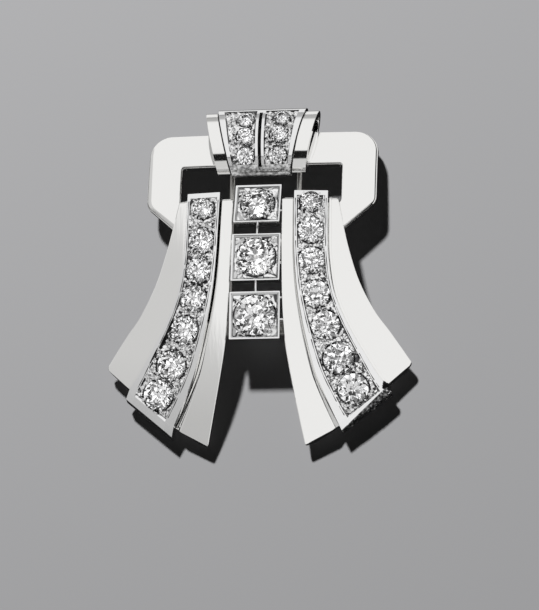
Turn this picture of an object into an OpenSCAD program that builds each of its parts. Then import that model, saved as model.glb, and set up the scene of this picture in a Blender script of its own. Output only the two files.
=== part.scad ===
// A clip brooch: a domed buckle of polished white metal with a scroll rolled over its top bar,
// two flared ribbon tails with raised strips of diamonds, and three square set diamonds between.
// It lies face up on a floor at z = 0, with +X to its right, +Y to the scroll and +Z out of its
// face. The origin is on the floor under the middle of its outline.

/* [Dome] */
// Height of the tails' highest point above the floor
dome_h = 6.2; // [5.8:0.1:6.8]
// Place of that highest point along the brooch
dome_y = 4; // [2:0.5:6]
// Fall of the dome to each side, for each square millimetre
dome_bend_x = 0.0085; // [0.006:0.0005:0.0095]
// Fall of the dome along the brooch, for each square millimetre
dome_bend_y = 0.0068; // [0.005:0.0002:0.0075]

/* [Buckle frame] */
// Half of the frame's width
frame_half_w = 13.5; // [13:0.1:14.5]
// Upper edge of the top bar
frame_top_y = 17.5; // [16.9:0.05:17.6]
// Width of the top bar
bar_w = 4.1; // [3.8:0.1:4.3]
// Width of the side arms
arm_w = 3.92; // [3.5:0.1:4.2]
// Radius of the rounded top corners
corner_r = 2.6; // [1.5:0.1:3.5]
// Height along the brooch where the lower chamfers start
chamfer_y = 8.55; // [8:0.05:9]
// Thickness of the frame plate
frame_t = 1.4; // [1.1:0.1:1.6]
// Height of the frame's face at its highest
frame_h = 4.45; // [4.2:0.05:4.6]
// Fall of the frame's face to each side, for each square millimetre
frame_bend_x = 0.0019; // [0.001:0.0001:0.003]
// Fall of the frame's face towards the scroll, for each square millimetre
frame_bend_y = 0.0085; // [0.006:0.0005:0.01]

/* [Tails] */
// Thickness of the tails' plates
plate_t = 1.25; // [1.2:0.05:1.3]
// Thickness of the web that carries a strip
web_t = 0.55; // [0.5:0.05:0.6]
// Height of the strips' rims above the plates
strip_rise = 0.6; // [0.4:0.05:0.8]
// Length of a strip past the wings' tops
strip_top_overhang = 0.6; // [0.4:0.1:0.8]
// Depth of the sunk field that holds a strip's stones
field_depth = 0.22; // [0.15:0.01:0.3]
// Gap between a strip and the metal round it
fit_gap = 0.06; // [0.05:0.01:0.08]

/* [Scroll] */
// Middle of the roll along the brooch
scroll_y = 16.15; // [16.1:0.05:16.25]
// Height of the roll's middle above the floor
scroll_z = 3.6; // [3.4:0.1:3.8]
// Half of the roll's depth along the brooch, over the stone set panel
scroll_half_y = 4.13; // [4:0.01:4.15]
// Height of the panel's crest above the roll's middle
scroll_half_z = 2.4; // [2.2:0.1:2.6]
// Thickness of the panel
panel_t = 0.85; // [0.8:0.05:0.9]
// Step from the panel down to the side bands
band_step = 0.36; // [0.3:0.02:0.4]
// Thickness of the side bands
band_t = 0.7; // [0.65:0.05:0.75]
// Half widths of the panel at the front lip and at the back of the roll
panel_half_front = 3.45; // [3.3:0.05:3.6]
panel_half_back = 5.3; // [5.1:0.05:5.5]
// Half widths of the side bands at the front lip and at the back of the roll
band_half_front = 5.15; // [5:0.05:5.3]
band_half_back = 6.85; // [6.6:0.05:7.1]
// Width of the slit down the panel
slit_w = 0.34; // [0.25:0.01:0.4]

/* [Square settings] */
// Wall round a square setting's sunk field
collet_wall = 0.3; // [0.25:0.01:0.35]
// Depth of a square setting
collet_depth = 1.6; // [1.5:0.05:1.65]
// Radius of the link wires
link_r = 0.13; // [0.1:0.01:0.2]

/* [Stones] */
// Height of a stone's crown as a share of its width
crown_share = 0.17; // [0.14:0.01:0.2]
// Depth of a stone's pavilion as a share of its width
pavilion_share = 0.38; // [0.34:0.01:0.38]
// Width of a stone's table as a share of its width
table_share = 0.5; // [0.45:0.01:0.58]
// Gap between a stone and its seat
seat_gap = 0.04; // [0.03:0.01:0.05]

/* [Clip] */
// Half of the clip's width
clip_half_w = 4.3; // [4:0.1:4.6]
// Width of the clip's side rails
rail_w = 0.6; // [0.5:0.05:0.8]
// Thickness of the clip's rails
rail_t = 0.8; // [0.7:0.05:1]
// Ends of the clip along the brooch: its toothed end and its hinge
clip_low_y = -6.5; // [-7:0.5:-5]
clip_high_y = 16.2; // [16:0.1:16.4]

/* [Hidden] */
// Rows of the tail outlines, from the wings' tops to their lower edge. Each row crosses the tail:
// inner edge of the inner wing, the strip's two edges, outer edge of the outer wing.
// [inner_x, inner_y, strip_in_x, strip_in_y, strip_out_x, strip_out_y, outer_x, outer_y]
TAIL_ROWS = [
    [2.87,   8.6, 4.39,   8.6,  8.28,   8.6,  9.35,   8.6],
    [2.91,   5.0, 4.47,   5.0,  8.33,   5.0, 10.05,   5.2],
    [2.96,   1.8, 4.59,   1.5,  8.45,   1.5, 10.85,   1.9],
    [3.05,  -2.0, 4.90,  -2.1,  8.98,  -2.2, 12.00,  -1.6],
    [3.20,  -5.5, 5.40,  -5.3,  9.95,  -5.1, 13.70,  -4.9],
    [3.55,  -9.2, 6.12,  -8.7, 11.30,  -7.8, 15.35,  -7.1],
    [4.20, -13.0, 7.10, -12.3, 12.80, -10.3, 16.65,  -8.9],
    [4.95, -16.8, 8.45, -15.5, 14.00, -12.2, 17.50,  -10.1],
    [5.68, -20.25, 9.60, -17.9, 14.95, -13.4, 17.95, -10.7]
];
// Stones of a strip, from the top: place along the rows on the left, on the right, and width
// [row_left, row_right, width]
STRIP_STONES = [
    [0.42, 0.26, 2.50],
    [1.47, 1.18, 3.04],
    [2.45, 2.22, 3.06],
    [3.44, 3.36, 3.14],
    [4.65, 4.56, 3.30],
    [5.94, 5.78, 3.44],
    [7.22, 7.08, 3.54]
];
// Stones of the scroll, from the front lip to the back: angle round the roll and distance from the
// middle, on the left and on the right, then the width
// [angle_left, left_x, angle_right, right_x, width]
SCROLL_STONES = [
    [56.0, 1.68, 56.4, 2.13, 2.02],
    [91.0, 1.64, 93.6, 2.33, 2.12],
    [125.0, 1.80, 128.4, 2.50, 1.96]
];
// Square settings, from the top: middle of the face, width, length, lean of the face towards the
// scroll, width of the stone
// [y, z, width, length, lean, stone_width]
SQUARES = [
    [7.90, 5.95, 5.42, 4.98, 12, 3.80],
    [1.24, 6.25, 5.72, 5.74, 2, 4.36],
    [-5.70, 5.90, 5.90, 5.60, -5, 4.56]
];
// Smooth steps from one row of a tail to the next
STEPS_PER_ROW = 3;
LAST_ROW = len(TAIL_ROWS) - 1;
// Way that a strip runs off the wings' lower edge
STRIP_END_WAY = [0.62, -0.78];
// Lengths that the left and the right strip run past the wings on that way
// [inner_side, outer_side]
STRIP_END_REACH = [
    [1.55, 1.45],
    [1.35, 1.10]
];
// Widths of the lips beside a strip's field: at the top, and on the outer and the inner side at its
// end
RIM_TOP = 0.32;
RIM_END_OUTER = 0.95;
RIM_END_INNER = 1.235;
// Depth of a stone's girdle below the rim round it, and below the scroll's face
GIRDLE_SINK = 0.08;
SCROLL_GIRDLE_SINK = 0.06;
// Depth of a strip's or a setting's open hole behind its stones
HOLE_DEPTH = 2.1;
// Angles between which the scroll's panel and its side bands are rolled, from the front over the top
PANEL_ROLL = [-17, 204];
BAND_ROLL = [-30, 240];
// Angles between which the slit runs
SLIT_ROLL = [20, 148];
// Clearance between the panel's lip and the top bar behind it, and the angle up to which the bar
// stands behind the panel
LIP_GAP = 0.07;
LIP_ROLL = 20;
SIDES = ["left", "right"];

// Height of the tails' face, and of the frame's face, at a place in plan
function dome(x, y) = dome_h - dome_bend_x * x * x - dome_bend_y * pow(y - dome_y, 2);
function frame_face(x, y) =
    frame_h - frame_bend_x * x * x - frame_bend_y * pow(max(y - 6, 0), 2);

// Smooth curve through the rows' columns: the row before and the row after steer each stretch
function row_at(i) = TAIL_ROWS[min(max(i, 0), LAST_ROW)];
function tail_value(t, col) =
    let (i = min(floor(t), LAST_ROW - 1), f = t - i,
         a = row_at(i - 1)[col], b = row_at(i)[col], c = row_at(i + 1)[col], d = row_at(i + 2)[col])
    b + f * ((c - a) + f * ((2 * a - 5 * b + 4 * c - d) + f * (3 * b - a - 3 * c + d))) / 2;
function tail_point(t, edge) = [tail_value(t, 2 * edge), tail_value(t, 2 * edge + 1)];
function row_list(from, to) = [for (i = [0:(to - from) * STEPS_PER_ROW]) from + i / STEPS_PER_ROW];

// Edges of a tail: 0 inner edge, 1 and 2 the strip's edges, 3 outer edge
function edge_line(edge) = [for (t = row_list(0, LAST_ROW)) tail_point(t, edge)];
function reversed(list) = [for (i = [len(list) - 1:-1:0]) list[i]];

// Direction of a strip at one of its ends, pointing off that end
function unit(v) = v / norm(v);
function end_of_strip(edge, column) =
    tail_point(LAST_ROW, edge) + STRIP_END_REACH[column][edge - 1] * unit(STRIP_END_WAY);
function strip_outline(column) = concat(
    [tail_point(0, 1) + [0, strip_top_overhang]], edge_line(1),
    [end_of_strip(1, column), end_of_strip(2, column)],
    reversed(edge_line(2)), [tail_point(0, 2) + [0, strip_top_overhang]]
);

// Solid between two surfaces given as grids of points of the same size, the first one on top
module sheet(top, bottom) {
    rows = len(top);
    cols = len(top[0]);
    n = rows * cols;
    ring = concat(
        [for (j = [0:cols - 2]) j],
        [for (i = [0:rows - 2]) i * cols + cols - 1],
        [for (j = [cols - 1:-1:1]) (rows - 1) * cols + j],
        [for (i = [rows - 1:-1:1]) i * cols]
    );
    polyhedron(
        points = concat([for (row = top, p = row) p], [for (row = bottom, p = row) p]),
        faces = concat(
            [for (i = [0:rows - 2], j = [0:cols - 2]) let (a = i * cols + j) each
                [[a, a + 1, a + cols + 1], [a, a + cols + 1, a + cols]]],
            [for (i = [0:rows - 2], j = [0:cols - 2]) let (a = n + i * cols + j) each
                [[a, a + cols + 1, a + 1], [a, a + cols, a + cols + 1]]],
            [for (k = [0:len(ring) - 1]) let (a = ring[k], b = ring[(k + 1) % len(ring)]) each
                [[a, a + n, b + n], [a, b + n, b]]]
        )
    );
}

// Curved slab over a tail that follows the dome, between two heights above the tails' face.
// Its cells start off the round numbers of the outlines, so that no cut runs along their edges.
module dome_slab(low, high) {
    cells = 12;
    xs = [for (i = [0:cells]) 0.93 + 18.13 * i / cells];
    ys = [for (j = [0:2 * cells]) 10.59 - 32.17 * j / cells / 2];
    sheet([for (y = ys) [for (x = xs) [x, y, dome(x, y) + high]]],
          [for (y = ys) [for (x = xs) [x, y, dome(x, y) + low]]]);
}

// Solid swept through sections of the same number of points. Seen along the sweep, each section
// runs counterclockwise. A closed sweep returns to its first section, and an open one is capped.
module swept(sections, cap = []) {
    n = len(sections);
    m = len(sections[0]);
    closed = len(cap) == 0;
    polyhedron(
        points = [for (section = sections, p = section) p],
        faces = concat(
            [for (i = [0:n - (closed ? 1 : 2)], j = [0:m - 1])
                let (a = i * m + j, b = i * m + (j + 1) % m,
                     c = ((i + 1) % n) * m + (j + 1) % m, d = ((i + 1) % n) * m + j)
                each [[a, b, c], [a, c, d]]],
            [for (face = cap) reversed(face)],
            [for (face = cap) [for (k = face) (n - 1) * m + k]]
        )
    );
}

// Stations round the right half of the buckle frame, from the middle of its hidden lower bar to the
// middle of its top bar
// [outer_x, outer_y, inner_x, inner_y]
function between(a, b, count) = [for (i = [0:count - 1]) a + (b - a) * i / count];
function frame_stations() =
    let (low_y = 1.2, low_half = 5.2, sill_y = 4, inner_r = 0.25,
         window_half = frame_half_w - arm_w, window_top = frame_top_y - bar_w,
         low_middle = [0, low_y, 0, sill_y],
         low_corner = [low_half, low_y, low_half, sill_y],
         chamfer = [frame_half_w, chamfer_y, window_half, chamfer_y],
         bend_start = [frame_half_w, frame_top_y - corner_r, window_half, window_top - inner_r],
         bend_end = [frame_half_w - corner_r, frame_top_y, window_half - inner_r, window_top],
         top_middle = [0, frame_top_y, 0, window_top])
    concat(
        between(low_middle, low_corner, 2), between(low_corner, chamfer, 4),
        between(chamfer, bend_start, 3),
        [for (a = [0:11.25:89]) [
            frame_half_w - corner_r + corner_r * cos(a), frame_top_y - corner_r + corner_r * sin(a),
            window_half - inner_r + inner_r * cos(a), window_top - inner_r + inner_r * sin(a)]],
        between(bend_end, top_middle, 6), [top_middle]
    );
function on_frame(x, y, depth) = [x, y, frame_face(x, y) - depth];
function frame_section(station, side) =
    let (ox = side * station[0], oy = station[1], ix = side * station[2], iy = station[3],
         mx = (ox + ix) / 2, my = (oy + iy) / 2)
    [on_frame(ix, iy, frame_t), on_frame(mx, my, frame_t), on_frame(ox, oy, frame_t),
     on_frame(ox, oy, 0), on_frame(mx, my, 0), on_frame(ix, iy, 0)];

// Buckle frame with its window. The lower bar lies hidden under the tails.
module buckle_frame() {
    stations = frame_stations();
    last = len(stations) - 1;
    swept(concat([for (i = [0:last]) frame_section(stations[i], 1)],
                 [for (i = [last - 1:-1:1]) frame_section(stations[i], -1)]));
}

// Section across a tail's plate at a place along its rows: both wings and the web between them,
// with a trough for the strip
function tail_section(t) =
    let (inner = tail_point(t, 0), strip_in = tail_point(t, 1), strip_out = tail_point(t, 2),
         outer = tail_point(t, 3), across = fit_gap * unit(strip_out - strip_in),
         a = strip_in - across, b = strip_out + across)
    [on_tail(outer, -plate_t), on_tail(b, -plate_t), on_tail(a, -plate_t), on_tail(inner, -plate_t),
     on_tail(inner, 0), on_tail(a, 0), on_tail(a, web_t - plate_t), on_tail(b, web_t - plate_t),
     on_tail(b, 0), on_tail(outer, 0)];
function on_tail(p, height) = [p[0], p[1], dome(p[0], p[1]) + height];
TAIL_CAP = [[2, 3, 4], [2, 4, 5], [2, 5, 6], [1, 2, 6], [1, 6, 7], [0, 1, 7], [0, 7, 8], [0, 8, 9]];

// One tail, on the right: both wings in one curved plate, with a trough for the strip and a
// tapered hole behind each stone
module tail_plate(column) {
    difference() {
        swept([for (t = row_list(0, LAST_ROW)) tail_section(t)], TAIL_CAP);
        for (stone = STRIP_STONES) strip_place(stone[column]) hull() {
            translate([0, 0, -0.8]) cylinder(r = 0.2 * stone[2], h = 0.1, $fn = 16);
            translate([0, 0, -2.8]) cylinder(r = 0.34 * stone[2], h = 0.1, $fn = 16);
        }
    }
}

// Frame of axes on the dome, at a height above the tails' face, with its third axis square to it
module on_dome(x, y, height) {
    slope_x = -2 * dome_bend_x * x;
    slope_y = -2 * dome_bend_y * (y - dome_y);
    normal = unit([-slope_x, -slope_y, 1]);
    translate([x, y, dome(x, y) + height])
        rotate(a = acos(normal[2]), v = [-normal[1], normal[0], 0])
            children();
}

// Middle of a strip at a place along the rows, at the level of a stone's girdle
module strip_place(t) {
    middle = (tail_point(t, 1) + tail_point(t, 2)) / 2;
    on_dome(middle[0], middle[1], strip_rise - GIRDLE_SINK) children();
}

// Point of the roll at an angle from its front, on an ellipse that is smaller by an inset
function roll_point(angle, inset) = [
    scroll_y - (scroll_half_y - inset) * cos(angle),
    scroll_z + (scroll_half_z - inset) * sin(angle)
];
// Half width of the flared scroll at a place along the brooch
function flare(y, front, back) =
    front + (back - front) * (y - scroll_y + scroll_half_y) / 2 / scroll_half_y;

// Half widths in plan of the panel and of the bands along the roll
function panel_half(y) = flare(y, panel_half_front, panel_half_back);
function band_half(y) = flare(y, band_half_front, band_half_back);

// One stretch of the roll between two angles, with half widths that follow its place
module roll_cell(a, b, outer_inset, inner_inset, half) {
    hull() polyhedron(
        points = [for (angle = [a, b], inset = [outer_inset, inner_inset(angle)], side = [-1, 1])
            let (p = roll_point(angle, inset)) [side * half(p[0]), p[0], p[1]]],
        faces = [[0, 1, 3, 2], [4, 6, 7, 5], [0, 4, 5, 1], [2, 3, 7, 6], [0, 2, 6, 4], [1, 5, 7, 3]]
    );
}

// Wall of the panel at an angle: it thins at the lip, to stay clear of the top bar
function panel_wall(angle) = angle > LIP_ROLL ? panel_t :
    min(panel_t, scroll_half_y - (scroll_y - frame_top_y + bar_w + LIP_GAP) / cos(angle));

// Polished band beside the panel, on the right, rolled over the top bar and soldered to its front
function band_section(angle) =
    let (low = roll_point(angle, band_step + band_t), high = roll_point(angle, band_step),
         edge_low = panel_half(low[0]) + fit_gap, edge_high = panel_half(high[0]) + fit_gap)
    [[edge_low, low[0], low[1]], [band_half(low[0]), low[0], low[1]],
     [band_half(high[0]), high[0], high[1]], [edge_high, high[0], high[1]]];

module side_band() {
    swept([for (a = [BAND_ROLL[0]:10:BAND_ROLL[1]]) band_section(a)], [[0, 1, 2], [0, 2, 3]]);
}

module polished_mount() {
    color("gainsboro") {
        buckle_frame();
        tail_plate(1);
        side_band();
        mirror([1, 0, 0]) {
            tail_plate(0);
            side_band();
        }
    }
}

// Place on the roll with its third axis square to the outer face
module scroll_place(angle, x) {
    p = roll_point(angle, SCROLL_GIRDLE_SINK);
    lean = atan2(cos(angle) / scroll_half_y, sin(angle) / scroll_half_z);
    translate([x, p[0], p[1]]) rotate([lean, 0, 0]) children();
}

module scroll_panel() {
    step = 8.5;
    slit_step = 8;
    color("lightgray") difference() {
        for (a = [PANEL_ROLL[0]:step:PANEL_ROLL[1] - step])
            roll_cell(a, a + step, 0, function(angle) panel_wall(angle), function(y) panel_half(y));
        for (a = [SLIT_ROLL[0]:slit_step:SLIT_ROLL[1] - slit_step])
            roll_cell(a, a + slit_step + 0.1, -1, function(angle) panel_t + 1,
                      function(y) slit_w / 2);
        for (column = [0, 1], row = SCROLL_STONES)
            scroll_place(row[2 * column], (2 * column - 1) * row[2 * column + 1]) seat(row[4]);
    }
}

// Open seat for a stone: a straight neck round the girdle, a cone under it, and a hole that widens
// to the back
module seat(width) {
    neck_r = width / 2 + seat_gap;
    neck_low = 0.03 * width + 0.02;
    throat_r = 0.16 * width;
    throat_z = -0.9 * width * pavilion_share;
    back_r = 0.2 * width;
    slice = 0.1;
    $fn = 24;
    hull() {
        translate([0, 0, -neck_low]) cylinder(r = neck_r, h = 1);
        translate([0, 0, throat_z]) cylinder(r = throat_r, h = slice);
    }
    hull() {
        translate([0, 0, throat_z]) cylinder(r = throat_r, h = slice);
        translate([0, 0, -HOLE_DEPTH]) cylinder(r = back_r, h = slice);
    }
}

// Raised strip on the right, with its sunk field and the seats cut through it
module strip(column) {
    difference() {
        intersection() {
            linear_extrude(2 * dome_h) polygon(strip_outline(column));
            dome_slab(web_t - plate_t + fit_gap, strip_rise);
        }
        intersection() {
            linear_extrude(2 * dome_h) strip_field();
            dome_slab(strip_rise - field_depth, strip_rise + 1);
        }
        for (stone = STRIP_STONES) strip_place(stone[column]) seat(stone[2]);
    }
}

// Outline of a strip's sunk field: its rims widen down the strip
module strip_field() {
    rows = row_list(0, LAST_ROW);
    polygon(concat([for (t = rows) field_point(t, 1, 2, RIM_END_INNER)],
                   reversed([for (t = rows) field_point(t, 2, 1, RIM_END_OUTER)])));
}
function field_point(t, edge, other, rim_end) =
    let (p = tail_point(t, edge), q = tail_point(t, other))
    p + (RIM_TOP + (rim_end - RIM_TOP) * pow(t / LAST_ROW, 2)) * unit(q - p);

module square_line() {
    color("lightgray") {
        for (square = SQUARES) collet(square);
        for (i = [0:len(SQUARES) - 2]) link_wire(SQUARES[i], SQUARES[i + 1]);
    }
}

// Frame of axes on a square setting's face
module on_square(square) {
    translate([0, square[0], square[1]]) rotate([-square[4], 0, 0]) children();
}

// Square setting: a box with walls that lean in, a sunk field and a seat through it
module collet(square) {
    size = [square[2], square[3], 0];
    upright = 0.4;
    lean_in = 0.25;
    slice = 0.1;
    on_square(square) difference() {
        hull() {
            centred_box(size, -upright, upright);
            centred_box(size - 2 * lean_in * [1, 1, 0], -collet_depth, slice);
        }
        centred_box(size - 2 * collet_wall * [1, 1, 0], -field_depth, 1);
        translate([0, 0, -GIRDLE_SINK]) seat(square[5]);
    }
}

// Box in the middle of a setting, from a height upwards
module centred_box(size, low, height) {
    translate([-size[0] / 2, -size[1] / 2, low]) cube([size[0], size[1], height]);
}

// Wire from the wall of one square setting to the next
module link_wire(upper, lower) {
    drop = 0.75;
    sunk = 0.3;
    from = upper[0] - upper[3] / 2 + sunk;
    to = lower[0] + lower[3] / 2 - sunk;
    hull() {
        translate([0, from, upper[1] - drop]) sphere(r = link_r, $fn = 12);
        translate([0, to, lower[1] - drop]) sphere(r = link_r, $fn = 12);
    }
}

// Hidden clip: an open lever with a toothed end, and the hinge block that carries it
module clip_fitting() {
    hinge_len = 2.4;
    toothed_len = 1.6;
    block_top = frame_face(0, clip_high_y) - frame_t - fit_gap;
    tooth = 0.8;
    tooth_h = 1.6;
    tooth_x = 2.2;
    color("silver") {
        for (s = [-1, 1])
            translate([s * (clip_half_w - rail_w / 2) - rail_w / 2, clip_low_y, 0])
                cube([rail_w, clip_high_y - clip_low_y, rail_t]);
        translate([-clip_half_w, clip_low_y, 0]) cube([2 * clip_half_w, toothed_len, rail_t]);
        translate([-clip_half_w, clip_high_y - hinge_len, 0])
            cube([2 * clip_half_w, hinge_len, rail_t]);
        translate([-clip_half_w / 2, clip_high_y - hinge_len, 0])
            cube([clip_half_w, hinge_len, block_top]);
        for (s = [-1, 1])
            translate([s * tooth_x - tooth / 2, clip_low_y + (toothed_len - tooth) / 2, rail_t - 0.1])
                cube([tooth, tooth, tooth_h]);
    }
}

// Old cut stone with a table of eight sides, girdle in its own level at z = 0
module stone(width) {
    r = width / 2;
    crown = crown_share * width;
    depth = pavilion_share * width;
    table = table_share * r;
    culet = 0.1 * r;
    star = 0.78 * r;
    star_z = crown * (r - star * cos(22.5)) / (r - table);
    lower = 0.42 * r;
    lower_z = -depth * (r - lower * cos(22.5)) / (r - culet);
    girdle = 0.02 * width;
    function ring(count, radius, z, turn) =
        [for (i = [0:count - 1]) [radius * cos(i * 360 / count + turn),
                                  radius * sin(i * 360 / count + turn), z]];
    polyhedron(
        points = concat(ring(8, table, crown, 0), ring(8, star, star_z, 22.5), ring(16, r, 0, 0),
                        ring(16, r, -girdle, 0), ring(8, lower, lower_z, 22.5),
                        ring(8, culet, -depth, 0)),
        faces = concat(
            [[for (i = [7:-1:0]) i]],
            [for (i = [0:7]) let (j = (i + 1) % 8, g = 16 + 2 * i, h = 16 + (2 * i + 2) % 16) each [
                [i, j, 8 + i], [i, 8 + i, g], [j, h, 8 + i],
                [8 + i, g + 1, g], [8 + i, h, g + 1],
                [g, g + 1, g + 17, g + 16], [g + 1, h, h + 16, g + 17],
                [g + 16, g + 17, 48 + i], [g + 17, h + 16, 48 + i],
                [g + 16, 48 + i, 56 + i], [48 + i, h + 16, 56 + j], [48 + i, 56 + j, 56 + i]
            ]],
            [[for (i = [0:7]) 56 + i]]
        )
    );
}

module scroll_stone(side, i) {
    row = SCROLL_STONES[i];
    column = side == "left" ? 0 : 1;
    color("white") scroll_place(row[2 * column], (2 * column - 1) * row[2 * column + 1]) stone(row[4]);
}

module strip_stone(side, i) {
    row = STRIP_STONES[i];
    color("white") mirror([side == "left" ? 1 : 0, 0, 0])
        strip_place(row[side == "left" ? 0 : 1]) stone(row[2]);
}

module square_stone(i) {
    color("white") on_square(SQUARES[i]) translate([0, 0, -GIRDLE_SINK]) stone(SQUARES[i][5]);
}

polished_mount();
scroll_panel();
color("lightgray") mirror([1, 0, 0]) strip(0);  // strip_left
color("lightgray") strip(1);  // strip_right
square_line();
clip_fitting();
for (side = SIDES, i = [0:len(SCROLL_STONES) - 1])
    scroll_stone(side, i);
for (side = SIDES, i = [0:len(STRIP_STONES) - 1])
    strip_stone(side, i);
for (i = [0:len(SQUARES) - 1])
    square_stone(i);
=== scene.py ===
import math

import bpy
import numpy as np
from mathutils import Matrix, Vector


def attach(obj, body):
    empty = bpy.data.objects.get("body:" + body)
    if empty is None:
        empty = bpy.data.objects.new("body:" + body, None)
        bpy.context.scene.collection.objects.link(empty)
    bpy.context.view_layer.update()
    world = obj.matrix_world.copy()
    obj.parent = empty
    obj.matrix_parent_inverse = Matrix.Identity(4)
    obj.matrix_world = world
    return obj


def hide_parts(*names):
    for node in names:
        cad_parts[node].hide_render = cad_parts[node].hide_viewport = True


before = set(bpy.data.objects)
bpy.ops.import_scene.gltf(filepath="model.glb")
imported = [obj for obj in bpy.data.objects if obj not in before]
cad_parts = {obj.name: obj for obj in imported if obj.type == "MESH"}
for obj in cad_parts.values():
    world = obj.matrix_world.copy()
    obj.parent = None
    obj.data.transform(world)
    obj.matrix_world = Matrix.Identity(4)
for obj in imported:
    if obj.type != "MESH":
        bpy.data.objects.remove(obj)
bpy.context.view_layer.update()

# ---- Camera -------------------------------------------------------------------------------------
# A long lens looks down on the brooch from its foot and a little from its right, so that the
# walls that face the foot and the right show as thin edges.
MM = 0.001
camera_right = (0.98697, 0.02648, -0.15873)
camera_up = (0.02166, 0.95552, 0.29412)
camera_back = (0.15946, -0.29372, 0.94250)
aim = Vector((1.003, -3.169, 1.516)) * MM
camera_distance = 0.4
camera = bpy.data.objects.new("camera", bpy.data.cameras.new("camera"))
camera_turn = Matrix((camera_right, camera_up, camera_back)).transposed().to_4x4()
camera.matrix_world = Matrix.Translation(aim + camera_distance * Vector(camera_back)) @ camera_turn
camera.data.sensor_fit = "VERTICAL"
camera.data.sensor_height = 24
camera.data.lens = 134.96
camera.data.clip_start = 0.01
bpy.context.collection.objects.link(camera)
bpy.context.scene.camera = camera

# ---- Buckle frame -------------------------------------------------------------------------------
# The buckle is a flat bar of white gold, sawn out with a window, domed a little and polished. Its
# outer edge is rolled off in a shallow soft bevel, and its lower bar lies hidden under the tails.


def skin(sections, closed=False):
    """Skin through sections of as many points each: point j of one section joins point j of the
    next. An open skin is capped by its first and last sections. The faces are turned outwards by
    the volume's sign, which is that of the sum of a dotted with b cross c over all triangles."""
    grid = np.asarray(sections, float)
    n, m, _ = grid.shape
    i = np.arange(n if closed else n - 1)[:, None]
    j = np.arange(m)[None]
    quads = np.stack([i * m + j, i * m + (j + 1) % m, (i + 1) % n * m + (j + 1) % m,
                      (i + 1) % n * m + j], -1).reshape(-1, 4)
    points = grid.reshape(-1, 3)
    fans = [quads[:, [0, 1, 2]], quads[:, [0, 2, 3]]]
    faces = quads.tolist()
    if not closed:
        ends = [np.arange(m)[::-1], np.arange(m) + (n - 1) * m]
        fans += [np.stack([np.full(m - 2, e[0]), e[1:-1], e[2:]], -1) for e in ends]
        faces += [e.tolist() for e in ends]
    a, b, c = (points[np.concatenate(fans)[:, k]] for k in range(3))
    if (a * np.cross(b, c)).sum() < 0:
        faces = [f[::-1] for f in faces]
    return points, faces


def joined(shells):
    """Several shells as one list of points and faces."""
    points, faces, start = [], [], 0
    for p, f in shells:
        points.append(p)
        faces += [[k + start for k in face] for face in f]
        start += len(p)
    return np.concatenate(points), faces


def mirrored(shell):
    """The shell on the other side of the middle plane, with its faces turned round again."""
    points, faces = shell
    return points * (-1, 1, 1), [f[::-1] for f in faces]


def piece(name, shell, material, nodes, bevel=0.0, sharp=32):
    """One object in metres from a shell in millimetres. Edges that turn by more than `sharp`
    degrees stay crisp, or get a small round of the given width."""
    points, faces = shell
    mesh = bpy.data.meshes.new(name)
    mesh.from_pydata((points * MM).tolist(), [], faces)
    mesh.shade_smooth()
    mesh.set_sharp_from_angle(angle=math.radians(sharp))
    mesh.materials.append(material)
    obj = bpy.data.objects.new(name, mesh)
    bpy.context.collection.objects.link(obj)
    if bevel:
        round_edges = obj.modifiers.new("round_edges", "BEVEL")
        round_edges.width = bevel * MM
        round_edges.segments = 2
        round_edges.limit_method = "ANGLE"
        round_edges.angle_limit = math.radians(sharp)
        round_edges.harden_normals = True
    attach(obj, "root")
    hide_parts(*nodes)
    return obj


def math_in(tree):
    """Function that adds a Math node to a tree, from the name of the operation and its values or
    sockets, and gives back the result's socket."""

    def math_node(kind, *values):
        node = tree.nodes.new("ShaderNodeMath")
        node.operation = kind
        for socket, value in zip(node.inputs, values):
            if hasattr(value, "is_output"):
                tree.links.new(value, socket)
            else:
                socket.default_value = value
        return node.outputs[0]

    return math_node


def build_hand_polish():
    """Node group of what a felt wheel leaves on hard metal. Its roughness is the base, and the
    smears' noise squared on top. Its height is long waves that bend reflections, and fine lines."""
    group = bpy.data.node_groups.new("hand_polish", "ShaderNodeTree")
    for name, value in (("Base", 0.05), ("Smear", 0.1), ("Wave", 0.5), ("Lines", 0.3)):
        socket = group.interface.new_socket(name, in_out="INPUT", socket_type="NodeSocketFloat")
        socket.default_value = value
    for name in ("Roughness", "Height"):
        group.interface.new_socket(name, in_out="OUTPUT", socket_type="NodeSocketFloat")
    nodes, link, math_node = group.nodes, group.links.new, math_in(group)
    given, out = nodes.new("NodeGroupInput"), nodes.new("NodeGroupOutput")
    place = nodes.new("ShaderNodeTexCoord").outputs["Object"]

    def noise(scale, detail, stretch=(1, 1, 1), turn=0.0):
        mapping = nodes.new("ShaderNodeMapping")
        mapping.inputs["Scale"].default_value = stretch
        mapping.inputs["Rotation"].default_value = (0, 0, turn)
        link(place, mapping.inputs["Vector"])
        texture = nodes.new("ShaderNodeTexNoise")
        texture.inputs["Scale"].default_value = scale
        texture.inputs["Detail"].default_value = detail
        link(mapping.outputs[0], texture.inputs["Vector"])
        return texture.outputs["Fac"]

    smear = math_node("POWER", noise(420, 3), 2.0)
    link(math_node("MULTIPLY_ADD", smear, given.outputs["Smear"], given.outputs["Base"]),
         out.inputs["Roughness"])
    lines = math_node("MULTIPLY", noise(2600, 2, (1, 0.05, 1), 0.35), given.outputs["Lines"])
    link(math_node("MULTIPLY_ADD", noise(260, 1), given.outputs["Wave"], lines),
         out.inputs["Height"])
    return group


hand_polish = build_hand_polish()


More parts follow.
